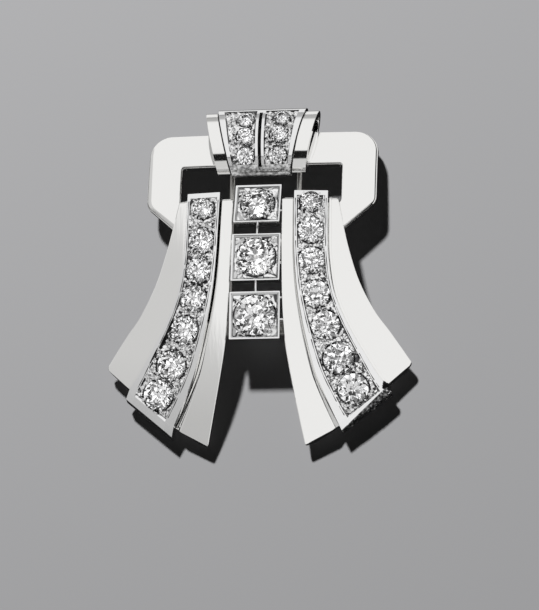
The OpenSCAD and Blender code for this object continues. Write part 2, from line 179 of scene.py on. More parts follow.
def polished_metal(name, color, base, smear, wave, lines):
    """Polished metal: the shared polish drives its roughness and, through a bump, its normal."""
    material = bpy.data.materials.new(name)
    material.use_nodes = True
    nodes, link = material.node_tree.nodes, material.node_tree.links.new
    shader = nodes["Principled BSDF"]
    shader.inputs["Base Color"].default_value = (*color, 1)
    shader.inputs["Metallic"].default_value = 1
    polish = nodes.new("ShaderNodeGroup")
    polish.node_tree = hand_polish
    for socket, value in zip(polish.inputs, (base, smear, wave, lines)):
        socket.default_value = value
    bump = nodes.new("ShaderNodeBump")
    bump.inputs["Distance"].default_value = 0.02 * MM
    bump.inputs["Strength"].default_value = 0.5
    link(polish.outputs["Height"], bump.inputs["Height"])
    link(polish.outputs["Roughness"], shader.inputs["Roughness"])
    link(bump.outputs[0], shader.inputs["Normal"])
    return material


gold_tone = (0.93, 0.925, 0.91)
white_gold = polished_metal("white_gold", gold_tone, 0.035, 0.16, 0.8, 0.1)
frame_thickness = 1.4


def frame_face(x, y):
    """Height of the frame's face: it falls to each side with the square of the distance, and
    towards the scroll with the square of the distance past y = 6."""
    return 4.45 - 0.0019 * x ** 2 - 0.0085 * np.maximum(y - 6, 0) ** 2


def frame_outlines():
    """Outer and inner outline of half the frame, from the middle of the hidden lower bar up the
    right arm to the middle of the top bar, as points that face each other: outer x, y, inner x, y.
    The elbow is a parabola: its two ends and its corner, mixed by the squares of the shares f and
    1 - f and by twice their product. The upper corners are quarter circles."""
    middle, bend = (0, 1.2, 0, 4), (5.2, 1.2, 5.2, 4)
    elbow_start, elbow_end = (12.98, 8.09, 9.3, 8.26), (13.5, 9.25, 9.58, 8.9)
    elbow_corner = np.array((13.5, 8.55, 9.58, 8.55))
    lower_bar = np.linspace(middle, bend, 3, endpoint=False)
    chamfer = np.linspace(bend, elbow_start, 10, endpoint=False)
    f = np.linspace(0, 1, 8, endpoint=False)[:, None]
    elbow = (1 - f) ** 2 * elbow_start + 2 * f * (1 - f) * elbow_corner + f ** 2 * elbow_end
    centres, radii = np.array((10.9, 14.9, 9.18, 13.0)), np.array((2.6, 2.6, 0.4, 0.4))
    turn = np.radians(np.linspace(0, 90, 25))
    corner = centres + radii * np.stack([np.cos(turn), np.sin(turn)] * 2, 1)
    arm = np.linspace(elbow_end, corner[0], 8, endpoint=False)
    bar = np.linspace(corner[-1], (0, 17.5, 0, 13.4), 12)
    return np.concatenate([lower_bar, chamfer, elbow, arm, corner, bar])


def frame_section(station):
    """Section from the underside round the stepped outer edge, over the bevel and the face, and
    down the window's wall: distance from the outer edge, then depth under the face. The bevel is
    flatter along the top bar, by how straight the section points to the foot there."""
    outer, inner = station[:2], station[2:]
    width = np.linalg.norm(inner - outer)
    way = (inner - outer) / width
    soft = 1 - 0.85 * max(-way[1], 0)
    edge = [(0.05, frame_thickness), (-0.11, frame_thickness - 0.1), (-0.11, 0.58),
            (0, 0.46), (0, 0.26)]
    bevel = [(0.07, 0.15 * soft), (0.2, 0.1 * soft), (0.36, 0.035 * soft), (0.47, 0.004)]
    face = [(0.55, 0), (0.65, 0), (width / 2, 0), (width - 0.15, 0), (width - 0.06, 0)]
    window = [(width, 0.06), (width, 0.4), (width + 0.05, 0.46), (width + 0.05, frame_thickness)]
    return [(*(outer + way * a), frame_face(*(outer + way * a)) - b)
            for a, b in edge + bevel + face + window]


half_ring = frame_outlines()
other_half = (half_ring * (-1, 1, -1, 1))[-2:0:-1]
ring = skin([frame_section(s) for s in np.concatenate([half_ring, other_half])], closed=True)
piece("buckle_frame", ring, white_gold, ["polished_mount"], bevel=0.03)

# ---- Tails --------------------------------------------------------------------------------------
# Two flared ribbons of white gold sheet, hammered over a dome and soldered across the buckle. Each
# has an inner and an outer wing with a trough between them, and a low ledge beside the trough.
TAIL_ROWS = np.array([
    # inner_x, inner_y, strip_in_x, strip_in_y, strip_out_x, strip_out_y, outer_x, outer_y
    (2.87, 8.6, 4.39, 8.6, 8.28, 8.6, 9.35, 8.6),
    (2.91, 5.0, 4.47, 5.0, 8.33, 5.0, 10.05, 5.2),
    (2.96, 1.8, 4.59, 1.5, 8.45, 1.5, 10.85, 1.9),
    (3.05, -2.0, 4.90, -2.1, 8.98, -2.2, 12.00, -1.6),
    (3.20, -5.5, 5.40, -5.3, 9.95, -5.1, 13.70, -4.9),
    (3.55, -9.2, 6.12, -8.7, 11.30, -7.8, 15.35, -7.1),
    (4.20, -13.0, 7.10, -12.3, 12.80, -10.3, 16.65, -8.9),
    (4.95, -16.8, 8.45, -15.5, 14.00, -12.2, 17.50, -10.1),
    (5.68, -20.25, 9.60, -17.9, 14.95, -13.4, 17.95, -10.7)])
last_row = len(TAIL_ROWS) - 1


def dome(x, y):
    """Height of the tails' face: it falls with the square of the distance to each side, and along
    the brooch with the square of the distance from y = 4."""
    return 6.2 - 0.0085 * x ** 2 - 0.0068 * (y - 4) ** 2


def tail_edge(t, edge):
    """Point of a tail's edge at row t: a Catmull-Rom curve through the rows, edge 0 at the inside,
    1 and 2 beside the strip, 3 at the outside."""
    rows = TAIL_ROWS[:, 2 * edge:2 * edge + 2]
    t = np.asarray(t, float)
    i = np.clip(np.floor(t).astype(int), 0, last_row - 1)
    f = (t - i)[..., None]
    a, b, c, d = (rows[np.clip(i + k, 0, last_row)] for k in (-1, 0, 1, 2))
    return b + f * ((c - a) + f * ((2 * a - 5 * b + 4 * c - d) + f * (3 * b - a - 3 * c + d))) / 2


def unit(v):
    """The vector or vectors at length one."""
    return v / np.linalg.norm(v, axis=-1, keepdims=True)


def on_dome(plan, lift):
    """Points in plan, lifted above the tails' face."""
    plan = np.asarray(plan, float)
    return np.concatenate([plan, (dome(plan[..., 0], plan[..., 1]) + lift)[..., None]], -1)


ribbon_gold = polished_metal("ribbon_gold", gold_tone, 0.035, 0.16, 1.0, 0.55)
plate_depth = 1.25
trough_depth = 1.12
ledge_rise = 0.128
# Millimetres from row to row at the top and at the lower edge, and the outside's share of them
top_row_length, end_row_length, outer_end_share = 3.5, 3.3, 0.23


def corner_cut(distance, radius):
    """How far a rounded corner stands back from its straight edge, at a distance from the end: the
    radius less the root of its square less the square of what the distance lacks of it."""
    d = np.clip(distance, 0, radius)
    return radius - np.sqrt(radius ** 2 - (radius - d) ** 2)


def tail_sections():
    """Sections across a tail from its top to its lower edge. The top end rolls down and back from
    a narrow lip, the corners are rounded, the free edges are thinned from below, and the inner
    wing sinks softly to the strip over a width that grows with the square of the row. Each place
    in the path has its lift over the dome, and a one where the roll of the top moves it."""
    ends = np.array([0, 0.004, 0.012, 0.025, 0.045, 0.07, 0.1, 0.14])
    t = np.concatenate([ends, np.arange(0.2, 7.7, 0.1), np.linspace(7.7, 7.82, 4)[:-1],
                        last_row - ends[::-1] * 1.2])
    inner, strip_in, strip_out, outer = (tail_edge(t, k) for k in range(4))
    across = unit(strip_out - strip_in)
    in_way, out_way = unit(strip_in - inner), unit(strip_out - outer)
    from_top, from_end = t * top_row_length, (last_row - t) * end_row_length
    inner_cut = corner_cut(from_top, 0.6) + corner_cut(from_end, 0.3)
    outer_cut = corner_cut(from_top, 0.4) + corner_cut(from_end * outer_end_share, 0.5)
    inner, outer = inner + in_way * inner_cut[:, None], outer + out_way * outer_cut[:, None]
    roll = np.interp(from_top, (0, 0.08, 0.2, 0.27, 0.6), (-0.42, -0.25, -0.23, -0.07, 0))
    sink = (0.2 + 0.66 * (t / last_row) ** 2)[:, None] * across
    trough_in, trough_out = strip_in - 0.04 * across, strip_out + 0.12 * across

    def free_edge(side, way):
        return [(side + way * 0.7, -plate_depth, 0), (side + way * 0.05, -0.6, 0),
                (side, -0.5, 1), (side, -0.07, 1), (side + way * 0.07, 0.0, 1),
                (side + way * 0.5, 0.0, 1)]

    soft_roll = [(trough_in - sink - 0.08 * across, 0.0, 1)] + [
        (trough_in - sink * share, lift, 1) for share, lift in (
            (1, 0.0), (0.75, -0.04), (0.5, -0.13), (0.25, -0.25), (0, -0.4))]
    trough = [(trough_in, -trough_depth, 0), (trough_out, -trough_depth, 0)]
    ledge = [(trough_out, ledge_rise, 1), (trough_out + across * 0.24, ledge_rise, 1),
             (trough_out + across * 0.27, 0.0, 1)]
    path = (free_edge(inner, in_way) + soft_roll + trough + ledge
            + free_edge(outer, out_way)[::-1])
    return np.stack([on_dome(plan, lift + rolls * roll) for plan, lift, rolls in path], 1)


right_tail = skin(tail_sections())
piece("tails", joined([right_tail, mirrored(right_tail)]), ribbon_gold,
      ["polished_mount"], bevel=0.025)

# ---- Scroll's side bands ------------------------------------------------------------------------
# On each side of the stone set panel a smooth band of white gold is rolled over the top bar, a
# step lower than the panel, and run onto the bar with a fillet of solder.
scroll_y, scroll_z, roll_half_y, roll_half_z = 16.15, 3.6, 4.13, 2.4
band_step, band_thickness = 0.36, 0.7


def roll_point(angle, inset):
    """Place on the roll, y then z: an ellipse that is smaller by the inset, turned from the front
    over the top to the back."""
    a = np.radians(angle)
    return (scroll_y - (roll_half_y - inset) * np.cos(a),
            scroll_z + (roll_half_z - inset) * np.sin(a))


def flare(y, front, back):
    """Half width of the scroll, which widens evenly from its front lip to its back."""
    return front + (back - front) * (y - scroll_y + roll_half_y) / (2 * roll_half_y)


def panel_half(y):
    """Half width of the stone set panel."""
    return flare(y, 3.45, 5.3)


def band_half(y):
    """Half width of the whole scroll, to the outer sides of the bands."""
    return flare(y, 5.15, 6.85)


def rolled_bar(angles, top, bottom, low, high, power=2.0):
    """Bar carried round the roll between two insets and two sides, each a function of the place
    along the brooch. With a power under two, the front half is drawn in: there the height over the
    roll's middle is one less the power of the reach, to the inverse power."""
    sections = []
    for angle in angles:
        (y_low, z_low), (y_top, z_top) = roll_point(angle, bottom), roll_point(angle, top)
        if 0 < angle < 90 and power != 2.0:
            reach, half_z = np.cos(np.radians(angle)), roll_half_z - top
            z_top = scroll_z + half_z * (1 - reach ** power) ** (1 / power)
        sections.append([(low(y_low), y_low, z_low), (high(y_low), y_low, z_low),
                         (high(y_top), y_top, z_top), (low(y_top), y_top, z_top)])
    return skin(sections)


def side_band(power):
    """The right band, with the given fullness of its front."""
    return rolled_bar(np.linspace(-30, 240, 109), band_step, band_step + band_thickness,
                      lambda y: panel_half(y) + 0.05, band_half, power)


def solder_fillet():
    """Slim wedge that fills the corner between the bar's face and a band's outer side. Its width
    swells by a half wave of a sine along the band."""
    y = np.linspace(13.5, 17.4, 24)
    foot, wide = band_half(y), 0.34 + 0.16 * np.sin(np.linspace(0, np.pi, 24))
    face = frame_face(foot, y)
    corners = ((foot - 0.3, face - 0.3), (foot + wide, face - 0.02),
               (foot + wide * 0.35, face + wide * 0.3), (foot - 0.02, face + wide))
    return skin(np.stack([np.stack([x, y, z], 1) for x, z in corners], 1))


fillet = solder_fillet()
bands = joined([side_band(1.5), mirrored(side_band(1.56)), fillet, mirrored(fillet)])
piece("scroll_bands", bands, white_gold, ["polished_mount"], bevel=0.045)

# ---- Scroll's stone set panel -------------------------------------------------------------------
# A plate of platinum rolled over the top bar. It has raised rims round two sunk fields of small
# diamonds, a slit between the fields, and a plain lip that turns under at the front. The lip and
# the rims' feet are worn dull, and the gaps beside the panel and in the slit are filled with
# near-black sheets that are painted shade.
platinum = polished_metal("platinum", (0.90, 0.90, 0.90), 0.06, 0.2, 0.8, 0.3)
field_depth = 0.2
panel_depth = 1.0
slit_half = 0.185
slit_rim = 0.34
# Angles round the roll: the slit's two ends, the fields' two ends, and the end of the worn feet
slit_angles = (24, 144)
field_angles = (39, 152)
rim_foot = 53.5


def rim_width(y):
    """The outer rims widen from the front to the back."""
    return 0.34 + 0.30 * np.clip((y - 12.6) / 4.2, 0, 1.3)


def rims(start, end, count):
    """The outer rim and the slit's rim of the right half, between two angles."""
    along = np.linspace(start, end, count)
    beside_slit = along[along < slit_angles[1] + 1]
    return (rolled_bar(along, 0, panel_depth, lambda y: panel_half(y) - rim_width(y), panel_half),
            rolled_bar(beside_slit, 0, panel_depth, lambda y: slit_half,
                       lambda y: slit_half + slit_rim))


def panel_shells():
    """The panel's solid pieces: the plain back, on each half the outer rim, the slit's rim and the
    field's upper end, and the bridge that closes the slit."""
    fields_end = field_angles[1]
    outer_rim, inner_rim = rims(rim_foot, fields_end + 3, 46)
    end = rolled_bar(np.linspace(fields_end, fields_end + 4, 6), 0, panel_depth,
                     lambda y: slit_half + 0.02, lambda y: panel_half(y) - 0.02)
    bridge = rolled_bar(np.linspace(slit_angles[1], fields_end + 4, 8), 0, panel_depth,
                        lambda y: -slit_half - slit_rim, lambda y: slit_half + slit_rim)
    back = rolled_bar(np.linspace(fields_end + 2, 204, 14), 0, panel_depth,
                      lambda y: -panel_half(y), panel_half)
    half = [outer_rim, inner_rim, end]
    return [back, bridge] + half + [mirrored(shell) for shell in half]


def lip_shells():
    """The lip under the fields, in one length below the slit and in two beside its end."""
    slit_end, thick = slit_angles[0], 0.7
    beside = rolled_bar(np.linspace(slit_end, field_angles[0], 9), 0, thick,
                        lambda y: slit_half, panel_half)
    below = rolled_bar(np.linspace(-17, slit_end, 24), 0, thick,
                       lambda y: -panel_half(y), panel_half)
    return [below, beside, mirrored(beside)]


def slit_shells():
    """The slit's floor under the fields, and its upper end against the bridge."""
    start, end = slit_angles
    floor_strip = rolled_bar(np.linspace(start - 4, end + 4, 40), panel_depth + 0.005,
                             panel_depth + 0.1, lambda y: -0.5, lambda y: 0.5)
    end_wall = rolled_bar(np.linspace(end - 1.2, end - 0.1, 3), 0.03, panel_depth,
                          lambda y: -slit_half - 0.01, lambda y: slit_half + 0.01)
    return [floor_strip, end_wall]


def side_gap(wide):
    """Bottom of the gap between the panel's right side and the band, as wide as given; it is
    coloured near black as painted shade.
    """
    return rolled_bar(np.linspace(-10, 165, 80), band_step - 0.012, band_step + 0.1,
                      lambda y: panel_half(y) - 0.05, lambda y: panel_half(y) + wide)


def colour_by(material, source, start, end):
    """Base colour that runs evenly between two places and colours as the source's value grows."""
    nodes, link = material.node_tree.nodes, material.node_tree.links.new
    ramp = nodes.new("ShaderNodeValToRGB")
    for element, (place, color) in zip(ramp.color_ramp.elements, (start, end)):
        element.position, element.color = place, (*color, 1)
    link(source, ramp.inputs["Fac"])
    link(ramp.outputs["Color"], nodes["Principled BSDF"].inputs["Base Color"])


def spots(material, scale, detail):
    """Noise through the piece, as a value from 0 to 1."""
    nodes, link = material.node_tree.nodes, material.node_tree.links.new
    noise = nodes.new("ShaderNodeTexNoise")
    noise.inputs["Scale"].default_value = scale
    noise.inputs["Detail"].default_value = detail
    link(nodes.new("ShaderNodeTexCoord").outputs["Object"], noise.inputs["Vector"])
    return noise.outputs["Fac"]


def mottled_metal(name, dark, light, scale, *polish):
    """Metal whose colour drifts from a dark to a light gray in spots."""
    material = polished_metal(name, (dark, dark, dark), *polish)
    colour_by(material, spots(material, scale, 3), (0.38, (dark,) * 3), (0.62, (light,) * 3))
    return material


piece("scroll_panel_plate", joined(panel_shells()), platinum, ["scroll_panel"],
      bevel=0.035)

satin_platinum = polished_metal("satin_platinum", (0.95, 0.95, 0.95), 0.5, 0.1, 0.5, 0.6)
feet = joined(rims(field_angles[0] - 0.5, rim_foot, 6))
piece("scroll_rim_feet", joined([feet, mirrored(feet)]), satin_platinum,
      ["scroll_panel"])

worn_platinum = mottled_metal("worn_platinum", 0.28, 1.0, 2600, 0.2, 0.3, 4.0, 2.4)
piece("scroll_lip", joined(lip_shells()), worn_platinum, ["scroll_panel"],
      bevel=0.05)

# The left gap is wider, as the panel's side hides the inner part of it from the front right.
# Near-black metal in spots: painted shade in the slit, in the gaps beside the panel and in the gap
# beside the left strip's field; it also colours the rims' dark lines and the dark solder drops.
tarnish_and_painted_shade = mottled_metal("tarnish_and_painted_shade", 0.012, 0.05, 900, 0.55, 0.3, 1.0, 1.0)
piece("slit_bottom", joined(slit_shells()), tarnish_and_painted_shade, ["scroll_panel"])
piece("panel_side_gaps", joined([side_gap(0.09), mirrored(side_gap(0.19))]), tarnish_and_painted_shade,
      ["scroll_panel"])

# ---- Cut fields round the stones ----------------------------------------------------------------
# Between the stones the metal is cut by hand into small bright facets, with a groove round each
# stone, and grains are raised from it and pushed over the stones' edges to hold them.


def cut_field_metal():
    """Platinum of the cut fields: the facets are bright, and painted shade darkens the grooves, the
    cut lines and the deepest places. Their tone, with the painted shade, is an attribute of the
    surface."""
    material = polished_metal("cut_platinum", (0.9, 0.9, 0.9), 0.06, 0.16, 0.6, 0.3)
    tone_and_painted_shade = material.node_tree.nodes.new("ShaderNodeAttribute")
    tone_and_painted_shade.attribute_name = "tone_and_painted_shade"
    colour_by(material, tone_and_painted_shade.outputs["Fac"], (0, (0.05, 0.05, 0.052)), (1, (0.97, 0.97, 0.97)))
    return material


cut_platinum = cut_field_metal()


def cut_relief(a, b, stones, seed, cell=0.28):
    """Height, and tone with painted shade, of a cut field at places a, b in millimetres, with a row
    of a, b and radius for each stone. The field is split into cells round random points, and each
    cell is a small plane with its own tilt, level and random gray. Dark lines of painted shade run
    where the two nearest points are equally far, beside three in ten of the cells. A groove runs
    round stretches of each stone's edge, kept where a sum of two sines of the angle is high, and is
    darkened as painted shade. A cone is sunk under the stone, 0.9 deep for each millimetre inwards,
    down to its point. Painted shade also darkens the tone where the metal is low."""
    rng, block = np.random.default_rng(seed), 4000
    low, high = np.array([a.min(), b.min()]), np.array([a.max(), b.max()])
    count = int(np.prod(high - low) / cell ** 2)
    centres = low + rng.random((count, 2)) * (high - low)
    tilt = rng.normal(0, 0.3, (count, 2))
    level = rng.normal(0, 0.035, count)
    shade = rng.choice([1.0, 0.8, 0.4, 0.03], count, p=[0.86, 0.07, 0.03, 0.04])
    lined = rng.random(count) < 0.3
    places = np.stack([a.ravel(), b.ravel()], 1)
    nearest, line = np.empty(len(places), int), np.empty(len(places))
    for start in range(0, len(places), block):
        part = places[start:start + block]
        far = np.sqrt(((part[:, None] - centres[None]) ** 2).sum(-1))
        two = np.argpartition(far, 1, axis=1)[:, :2]
        near = np.take_along_axis(far, two, 1)
        nearest[start:start + block] = two[np.arange(len(part)), near.argmin(1)]
        line[start:start + block] = np.clip(1.6 - np.abs(near[:, 0] - near[:, 1]) / 0.06, 0, 1)
    line = line * lined[nearest]
    height = ((places - centres[nearest]) * tilt[nearest]).sum(1) + level[nearest]
    height = np.clip(height, -0.13, 0.12)
    apart = np.linalg.norm(places[:, None] - stones[None, :, :2], axis=-1) - stones[None, :, 2]
    stone = apart.argmin(1)
    off, radius = apart.min(1), stones[stone, 2]
    around = np.arctan2(*(places - stones[stone, :2]).T)
    first, second = rng.uniform(0, 2 * np.pi, (2, len(stones)))
    waves = 0.8 * np.sin(around + first[stone]) + 0.6 * np.sin(3 * around + second[stone])
    groove = np.clip(1.1 + waves, 0, 1) * np.clip(2 - 2 * np.abs(off - 0.07) / 0.135, 0, 1)
    pit = np.maximum(-0.06 + 0.9 * off, 0.09 - 0.84 * radius)
    height = np.where(off < 0, pit, height * np.clip(off / 0.12, 0, 1) - 0.08 * groove)
    # Painted shade: the grooves, the dark lines and the low metal are darkened in the tone.
    tone_and_painted_shade = (1.05 - 1.05 * groove) * (1 - 0.97 * line) + 0.5 * np.minimum(height + 0.06, 0)
    tone_and_painted_shade = np.clip(tone_and_painted_shade * shade[nearest], 0, 1)
    return height.reshape(a.shape), np.where(off < 0, 0.6, tone_and_painted_shade).reshape(a.shape)


def cut_field(name, surface, normal, a, b, stones, seed, nodes, thick, ring=False, cell=0.28):
    """Slab whose top is the surface with the cut relief laid on along its normals, a cut along its
    end, and cuts along stretches of its two sides, each darkened as painted shade. A ring's
    sections meet again where they began, and only its outer side has the cuts."""
    height, tone_and_painted_shade = cut_relief(a, b, stones, seed, cell)
    rng = np.random.default_rng(seed + 500)
    sides = [[-2, -1]] if ring else [[0, 1], [-2, -1]]
    # The cuts along the end and the sides are lowered, and darkened in the tone as painted shade.
    if not ring:
        height[-2:] -= 0.06
        tone_and_painted_shade[-2:] *= 0.1
    for columns in sides:
        stretch = np.repeat(rng.random(len(a) // 10 + 1) < 0.6, 10)[:len(a), None]
        height[:, columns] -= 0.08 * stretch
        tone_and_painted_shade[:, columns] *= 1 - 0.95 * stretch
    top = surface + normal * height[..., None]
    low = surface - normal * thick
    sections = np.concatenate([top, low[:, -1:], low[:, :1]], 1)
    tones_and_painted_shade = np.concatenate([tone_and_painted_shade, np.zeros((len(tone_and_painted_shade), 2))], 1)
    obj = piece(name, skin(sections, closed=ring), cut_platinum, nodes, sharp=14)
    attribute = obj.data.attributes.new("tone_and_painted_shade", "FLOAT", "POINT")
    attribute.data.foreach_set("value", tones_and_painted_shade.ravel().astype(np.float32))


def grain_shell(centre, normal, radius):
    """One raised grain: five rings of a ball, squeezed a little along its normal."""
    side = unit(np.cross(normal, (0.3, 1, 0.2)))
    other = np.cross(normal, side)
    turn = np.radians(np.arange(0, 360, 36))
    rings = []
    for lat in np.radians((-35, 0, 30, 55, 78)):
        ring = np.cos(lat) * (np.cos(turn)[:, None] * side + np.sin(turn)[:, None] * other)
        rings.append(centre + radius * (ring + 0.85 * np.sin(lat) * normal))
    return skin(rings)


# ---- Scroll's fields ----------------------------------------------------------------------------
# Three small diamonds a side follow the roll. The fields between them and the rims are cut, and
# grains stand at the corners.
SCROLL_STONES = np.array([
    # angle_left, left_x, angle_right, right_x, width
    (56.0, 1.68, 56.4, 2.13, 2.02),
    (91.0, 1.64, 93.6, 2.33, 2.12),
    (125.0, 1.80, 128.4, 2.50, 1.96)])


def roll_frame(angle, inset, x):
    """Point and outward normal on the roll. The normal leans by cosine and sine over the half
    lengths of the ellipse."""
    y, z = roll_point(angle, inset)
    a = np.radians(angle)
    lean = (0 * y, -np.cos(a) / roll_half_y, np.sin(a) / roll_half_z)
    return (np.stack(np.broadcast_arrays(x, y, z), -1),
            unit(np.stack(np.broadcast_arrays(*lean), -1)))


def arc_length(angle):
    """Length along the roll's face from the front to an angle, summed over fine steps."""
    fine = np.linspace(0, 200, 801)
    y, z = roll_point(fine, field_depth)
    steps = np.concatenate([[0], np.cumsum(np.hypot(np.diff(y), np.diff(z)))])
    return np.interp(angle, fine, steps)


def scroll_places(side):
    """Angle round the roll, distance from the middle and width of the stones on a side."""
    first = 0 if side < 0 else 2
    return SCROLL_STONES[:, (first, first + 1, 4)]


def scroll_field(side):
    """One of the two fields, between the slit's rim and the outer rim: its surface and normals,
    its flat places in millimetres for the relief, and its stones there."""
    angles = np.linspace(field_angles[0] - 1, field_angles[1] + 1, 110)[:, None]
    across = np.linspace(0, 1, 44)[None]
    y, _ = roll_point(angles, field_depth)
    low, high = slit_half + slit_rim - 0.02, panel_half(y) - rim_width(y) + 0.02
    x = side * (low + (high - low) * across)
    surface, normal = roll_frame(angles, field_depth, x)
    normal = np.broadcast_to(normal, surface.shape)
    b = np.broadcast_to(arc_length(angles), x.shape)
    angle, reach, width = scroll_places(side).T
    stones = np.stack([side * reach, arc_length(angle), width / 2], 1)
    return surface, normal, x, b, stones


for name, side, seed in (("scroll_field_left", -1, 11), ("scroll_field_right", 1, 12)):
    cut_field(name, *scroll_field(side), seed, ["scroll_panel"], panel_depth - field_depth)


def scroll_grains():
    """Grains beside the stones, at the four corners of each stone's square."""
    shells = []
    rng = np.random.default_rng(5)
    for side in (-1, 1):
        for angle, x, width in scroll_places(side):
            per_degree = arc_length(angle + 1) - arc_length(angle)
            for turn in (42, 138, 222, 318):
                turn = np.radians(turn + rng.normal(0, 6))
                reach = width / 2 + 0.06
                p, n = roll_frame(angle + reach * np.sin(turn) / per_degree, field_depth - 0.06,
                                  side * x + reach * np.cos(turn))
                shells.append(grain_shell(p, n, 0.15 + 0.03 * rng.random()))
    return joined(shells)


piece("scroll_grains", scroll_grains(), platinum, ["scroll_panel"], sharp=60)

# ---- Raised strips ------------------------------------------------------------------------------
# Each strip is a curved bar of platinum with a sunk field and polished rims that widen towards the
# foot. It lies in the tail's trough and runs on past the wings in a ridge and a low slope. The
# right one's end is rough with solder, and beside the left one's field a gap has opened, drawn as
# near-black bars in painted shade.
strip_rise = 0.6
strip_low, hidden_low = -0.64, -1.08
line_rise = strip_rise + 0.004
STRIP_STONES = np.array([
    # row_left, row_right, width
    (0.42, 0.26, 2.50),
    (1.47, 1.18, 3.04),
    (2.45, 2.22, 3.06),
    (3.44, 3.36, 3.14),
    (4.65, 4.56, 3.30),
    (5.94, 5.78, 3.44),
    (7.22, 7.08, 3.54)])
field_end = last_row
# Ways in x and y that the left and the right strip run past the wings, inner and outer side
END_WAYS = np.array([
    ((0.30, -1.25), (0.48, -1.13)),
    ((0.35, -0.78), (0.65, -0.82))])
end_length = 0.9


def strip_edge(s, edge):
    """Edge of a strip at row s, run straight on past the tail's top."""
    s = np.asarray(s, float)
    base = tail_edge(np.clip(s, 0, last_row), edge)
    over_top = np.clip(-s, 0, 1)[..., None] * (0, 0.6)
    return base + over_top


def rim_edges(s, extra=0.0):
    """Edges of the two rims at the field, whose widths grow with the square of the row. The extra
    is added to both widths."""
    a, b = strip_edge(s, 1), strip_edge(s, 2)
    across = unit(b - a)
    grow = (np.clip(s, 0, last_row) / last_row) ** 2
    return (a + across * (0.32 + 0.915 * grow + extra)[..., None],
            b - across * (0.32 + 0.63 * grow + extra)[..., None])


def strip_sections(ridge, fall, column):
    """Sections across a strip: over the rims, down into the channel that takes the field, and up
    again. Past the field's ends the channel's floor is level with the rims. At the foot it stays
    level over the width of a ridge, falls evenly by a given height, and ends in a steep wall."""
    slope_start, wall_out, wall_drop = ridge + 0.06, 0.14, 0.95
    s = np.concatenate([[-1, -0.5, -0.01], [0.0], np.arange(0.1, field_end, 0.1), [field_end],
                        field_end + np.array((0.005, ridge, slope_start, end_length))])
    top = strip_rise - np.interp(s - field_end, (slope_start, end_length), (0, fall))
    within = (s >= 0) & (s <= field_end)
    floor = np.where(within, hidden_low + 0.03, top)
    floor = np.where(s == field_end + 0.005, strip_rise - field_depth - 0.03, floor)
    foot = np.where(within, hidden_low, strip_low)
    a, b = strip_edge(s, 1), strip_edge(s, 2)
    (rim_a, rim_b), (foot_a, foot_b) = rim_edges(s), rim_edges(s, 0.03)
    past = (np.maximum(s - field_end, 0) / end_length)[:, None]
    a, rim_a, foot_a = (edge + past * END_WAYS[column, 0] for edge in (a, rim_a, foot_a))
    b, rim_b, foot_b = (edge + past * END_WAYS[column, 1] for edge in (b, rim_b, foot_b))
    path = [(a, foot), (a, top), (rim_a, top), (foot_a, floor), (foot_b, floor),
            (rim_b, top), (b, top), (b, foot)]
    sections = np.stack([on_dome(plan, lift) for plan, lift in path], 1)
    foot_of_end = sections[-1] + (*(wall_out * unit(END_WAYS[column].sum(0))), 0)
    foot_of_end[1:-1, 2] -= wall_drop
    return np.concatenate([sections, foot_of_end[None]])


right_fall = 0.02
right_strip = skin(strip_sections(0.2, right_fall, 1))
left_strip = mirrored(skin(strip_sections(0.24, 0.03, 0)))
piece("strip_right_body", right_strip, platinum, ["strip_right"], bevel=0.04)
piece("strip_left_body", left_strip, platinum, ["strip_left"], bevel=0.04)


def dome_bar(near, far, low, high):
    """Bar along the dome between two lines in plan and two heights over the tails' face."""
    return skin(np.stack([on_dome(near, low), on_dome(far, low), on_dome(far, high),
                          on_dome(near, high)], 1))


def rim_line(edge, inset, seed):
    """Slim dark line in a rim, broken here and there: thin bars on the dome beside the field, at an
    inset from the rim's inner edge."""
    rng = np.random.default_rng(seed)
    shells, start = [], 0.15
    while start < 7.6:
        stop = min(start + rng.uniform(0.7, 2.2), 7.85)
        s = np.linspace(start, stop, 24)
        middle = rim_edges(s, -inset)[edge]
        half = (0.035 + 0.015 * np.sin(9 * s))[:, None] * unit(strip_edge(s, 2) - strip_edge(s, 1))
        shells.append(dome_bar(middle - half, middle + half, strip_rise - 0.03, line_rise))
        start = stop + rng.uniform(0.04, 0.2)
    return joined(shells)


def open_gap():
    """The gap that has opened beside the left strip's field, in three stretches, as near-black bars
    whose darkness is painted shade, laid along the outer rim's inner edge on a right strip. Each
    narrows to its ends by the root of a half wave of a sine."""
    swell = np.sin(np.pi * np.linspace(0.12, 0.88, 12)) ** 0.5
    shells = []
    for start, stop, wide, inset in ((4.3, 4.86, 0.3, 0), (4.9, 5.42, 0.4, 0),
                                     (5.44, 6.1, 0.2, -0.2)):
        s = np.linspace(start, stop, 12)
        edge = rim_edges(s, inset)[1]
        across = unit(strip_edge(s, 1) - edge) * (wide * swell)[:, None]
        shells.append(dome_bar(edge - 0.1 * across, edge + across, 0.3, line_rise))
    return joined(shells)


piece("strip_gap_left", mirrored(open_gap()), tarnish_and_painted_shade, ["strip_left"])
right_lines = joined([rim_line(0, 0.17, 61), rim_line(1, 0.14, 62)])
left_lines = mirrored(joined([rim_line(0, 0.15, 63), rim_line(1, 0.13, 64)]))
piece("rim_lines_right", right_lines, tarnish_and_painted_shade, ["strip_right"])
piece("rim_lines_left", left_lines, tarnish_and_painted_shade, ["strip_left"])


def dome_normal(x, y):
    """Direction square to the tails' face: one upwards, and the fall of the dome's height for each
    millimetre to the side and along, which is twice its factors times the distances."""
    return unit(np.stack([0.017 * x, 0.0136 * (y - 4), np.ones_like(x)], -1))


def strip_middle(rows):
    """Place in plan of the middle of a strip at a row, on the right."""
    return (tail_edge(rows, 1) + tail_edge(rows, 2)) / 2


